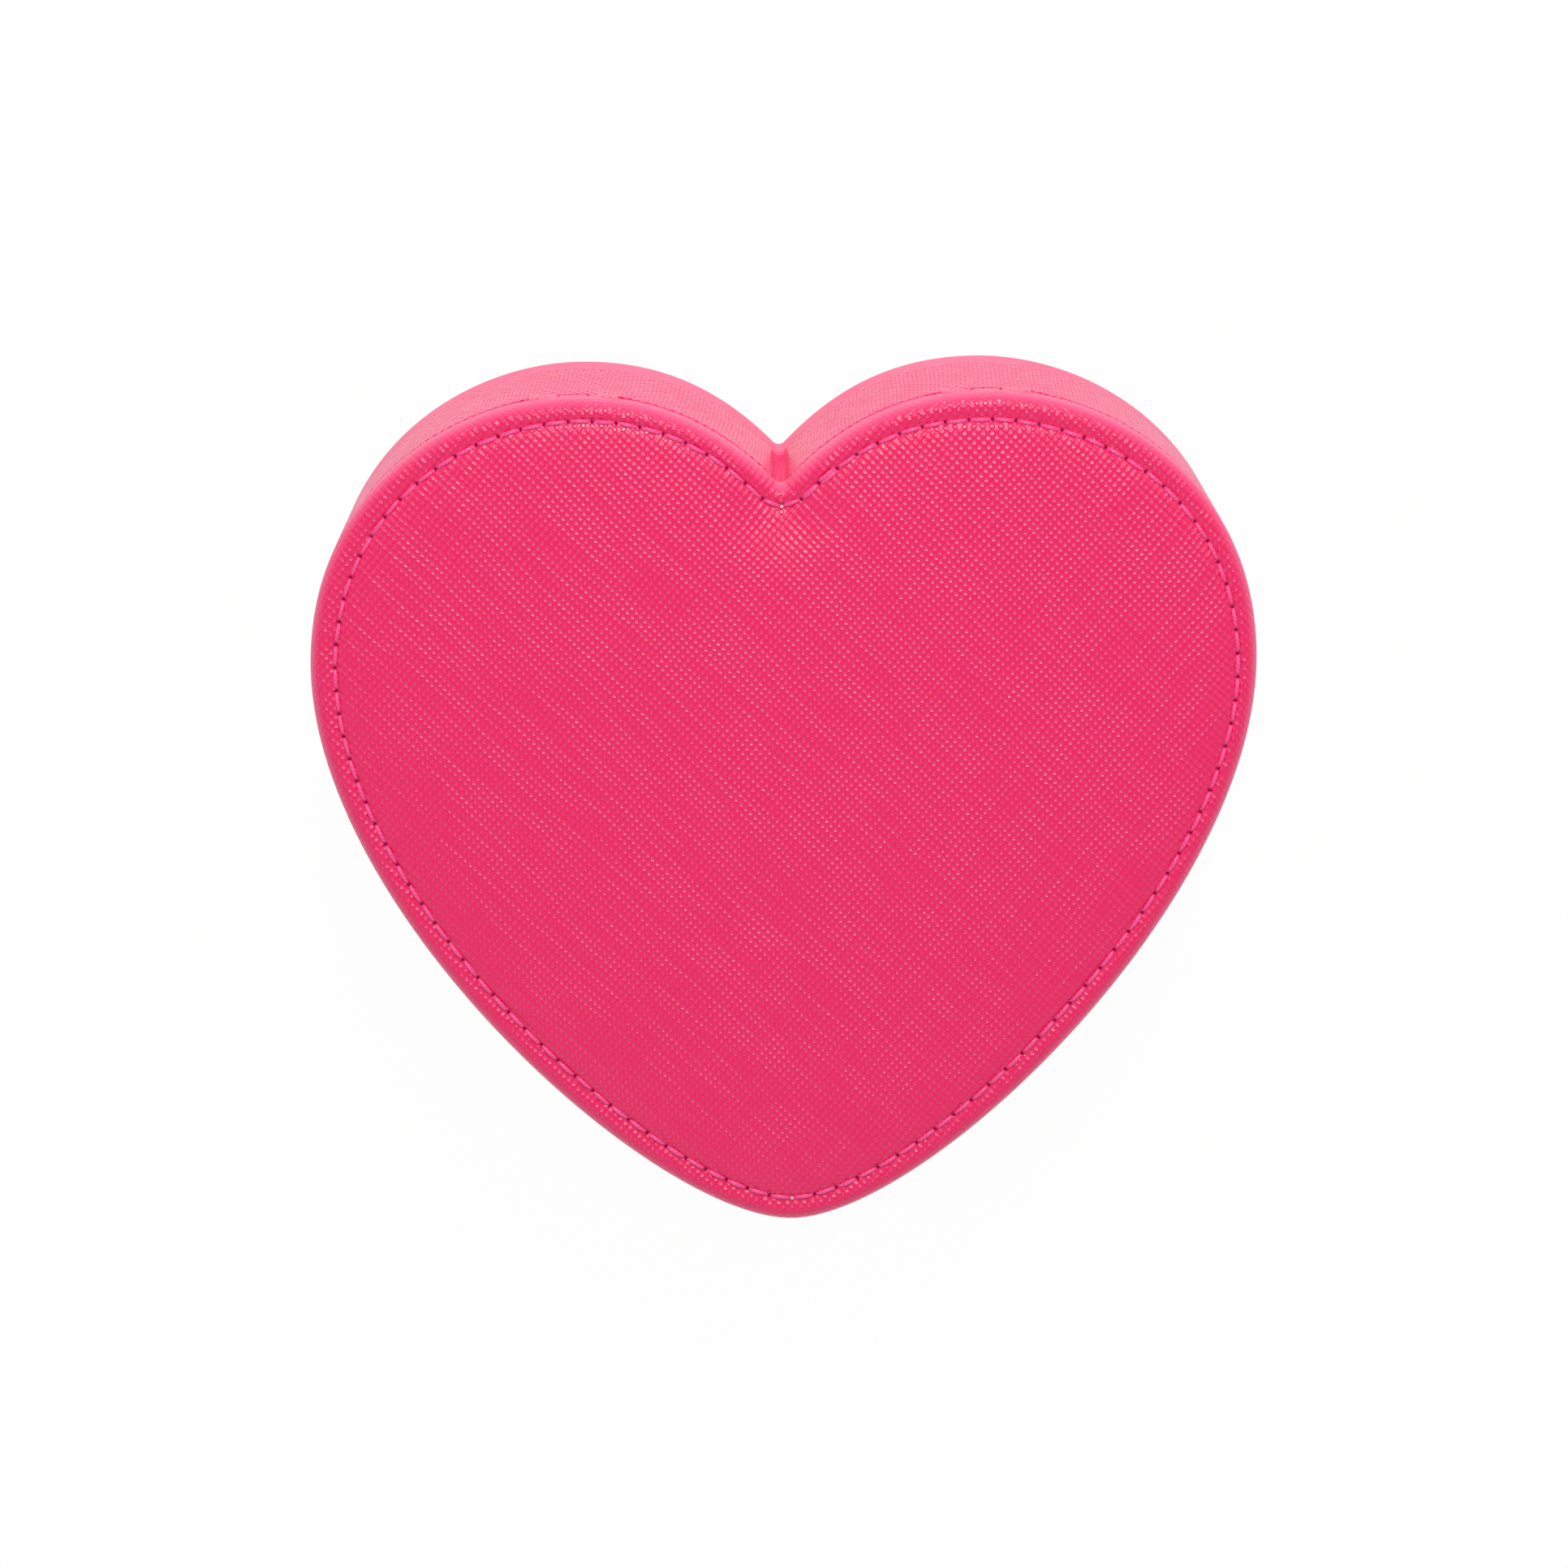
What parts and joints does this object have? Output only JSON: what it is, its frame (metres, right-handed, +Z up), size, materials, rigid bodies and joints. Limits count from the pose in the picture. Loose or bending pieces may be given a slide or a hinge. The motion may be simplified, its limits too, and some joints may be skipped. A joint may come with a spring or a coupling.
{
  "type": "wind-up music box",
  "caption": "Heart-shaped leatherette jewellery case with a padded, topstitched, hinged lid and a key-wound comb-and-cylinder musical movement under a clear cover.",
  "frame": {"origin": "middle of the heart outline, half-way across and half-way front to back, on the surface the case stands on", "axes": "+Z up through the lid; +Y towards the two lobes and the hinges; +X to the right when the heart is seen from above with its point towards -Y"},
  "size_m": [0.14, 0.1246, 0.0505],
  "materials": {
    "saffiano": "cross-grain embossed, satin",
    "smooth_leatherette": "smooth, satin",
    "board": "raw grey board",
    "foam": "open foam",
    "velvet": "short pile",
    "suede": "brushed",
    "looking_glass": "silvered",
    "enamel": "gloss",
    "nickel": "polished",
    "steel": "ground",
    "brass": "turned",
    "zinc_plate": "satin",
    "nylon": "moulded",
    "felt": "pressed felt",
    "clear_cover": "clear"
  },
  "bodies": {
    "case": {"arbor_bush": "nylon", "barrel_bridge": "zinc_plate", "bedplate": "zinc_plate", "bottom_panel": "board", "bridge_screw_1": "steel", "bridge_screw_2": "steel", "comb": "steel", "comb_screw_1": "steel", "comb_screw_2": "steel", "cylinder_bridge": "zinc_plate", "deck_screw_1": "steel", "deck_screw_2": "steel", "deck_screw_3": "steel", "floor_lining": "velvet", "front_divider": "velvet", "governor_frame": "zinc_plate", "governor_screw": "steel", "hinge_left_body_leaf": "enamel", "hinge_left_pin": "steel", "hinge_right_body_leaf": "enamel", "hinge_right_pin": "steel", "key_well": "suede", "movement_cover": "clear_cover", "movement_deck": "board", "one_way_spring": "steel", "plinth_band": "smooth_leatherette", "plunger_spring": "steel", "ring_cushion_1": "velvet", "ring_cushion_2": "velvet", "ring_cushion_3": "velvet", "underside_lining": "suede", "wall_board": "board", "wall_cover": "saffiano", "wall_lining": "velvet", "wall_magnet": "nickel"},
    "lid": {"lid_cover": "saffiano", "lid_padding": "foam", "lid_board": "board", "lid_lining": "velvet", "mirror": "looking_glass", "lid_magnet": "nickel", "hinge_left_lid_leaf": "enamel", "hinge_right_lid_leaf": "enamel"},
    "winding": {"winding_arbor": "steel", "winding_key": "nickel"},
    "barrel": {"spring_barrel": "brass", "barrel_cap": "brass", "mainspring": "steel"},
    "cylinder": {"cylinder": "brass", "cylinder_shaft": "steel", "drive_pinion": "brass", "cylinder_gear": "brass"},
    "governor": {"governor_arbor": "steel", "worm_wheel": "nylon"},
    "fan": {"worm_shaft": "steel", "governor_fan": "nylon"},
    "plunger": {"stop_plunger": "steel", "brake_pad": "felt"}
  },
  "joints": [
    {"name": "lid_hinge", "type": "hinge", "parent": "case", "child": "lid", "pos_m": [0, 0.0611, 0.043], "axis": [-1, 0, 0], "range_deg": [0, 95]},
    {"name": "key_winding", "type": "hinge", "parent": "case", "child": "winding", "pos_m": [-0.0107, 0.0245, 0.01], "axis": [0, 0, 1], "range_deg": [0, 1800]},
    {"name": "cylinder_spin", "type": "hinge", "parent": "case", "child": "cylinder", "pos_m": [0.01, 0.0245, 0.02472], "axis": [1, 0, 0], "continuous": true},
    {"name": "barrel_spin", "type": "hinge", "parent": "case", "child": "barrel", "pos_m": [-0.0107, 0.0245, 0.02], "axis": [0, 0, 1], "continuous": true},
    {"name": "governor_spin", "type": "hinge", "parent": "case", "child": "governor", "pos_m": [0.0219, 0.0309, 0.02892], "axis": [1, 0, 0], "continuous": true},
    {"name": "fan_spin", "type": "hinge", "parent": "case", "child": "fan", "pos_m": [0.0219, 0.03524, 0.025], "axis": [0, 0, 1], "continuous": true},
    {"name": "stop_plunger_slide", "type": "slide", "parent": "case", "child": "plunger", "axis": [0, 0, 1], "range_m": [0, 0.003], "deforming": ["plunger_spring"]}
  ],
  "couplings": [
    {"joint": "barrel_spin", "follows": "cylinder_spin", "ratio": 0.33333},
    {"joint": "governor_spin", "follows": "cylinder_spin", "ratio": -4},
    {"joint": "fan_spin", "follows": "cylinder_spin", "ratio": 80},
    {"joint": "stop_plunger_slide", "follows": "lid_hinge", "m_per_rad": 0.0018}
  ]
}
